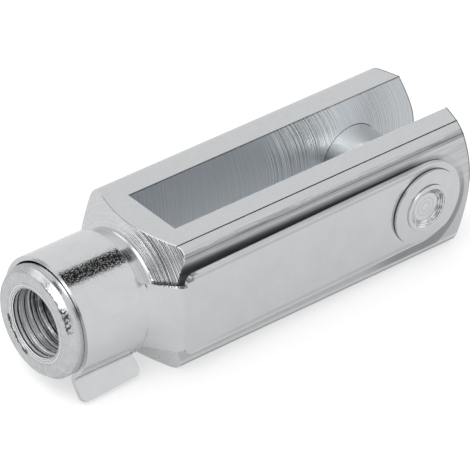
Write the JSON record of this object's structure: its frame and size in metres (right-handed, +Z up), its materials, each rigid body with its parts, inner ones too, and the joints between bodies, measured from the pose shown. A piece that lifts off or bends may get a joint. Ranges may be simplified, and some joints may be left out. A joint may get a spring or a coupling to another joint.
{
  "type": "fork head clevis with spring clip pin",
  "caption": "Fork head clevis for the end of a threaded tension rod, with a cross pin held by a folding spring clip.",
  "frame": {"origin": "on the pin axis, midway between the two ears", "axes": "+X out through the ear ends, the threaded neck towards -X, the spring clip on the -Y side, +Z up"},
  "size_m": [0.0581, 0.0178, 0.016],
  "materials": {
    "zinc_plated_steel": "bright zinc plate over turned and milled steel",
    "zinc_plated_pin": "bright zinc plate",
    "spring_steel": "satin zinc plated spring steel sheet"
  },
  "bodies": {
    "fork": {"fork_head": "zinc_plated_steel"},
    "clip": {"spring_clip": "spring_steel", "clevis_pin": "zinc_plated_pin"}
  },
  "joints": [
    {"name": "clip_swing", "type": "hinge", "parent": "fork", "child": "clip", "pos_m": [0, 0, 0], "axis": [0, 1, 0], "range_deg": [0, 338]}
  ]
}
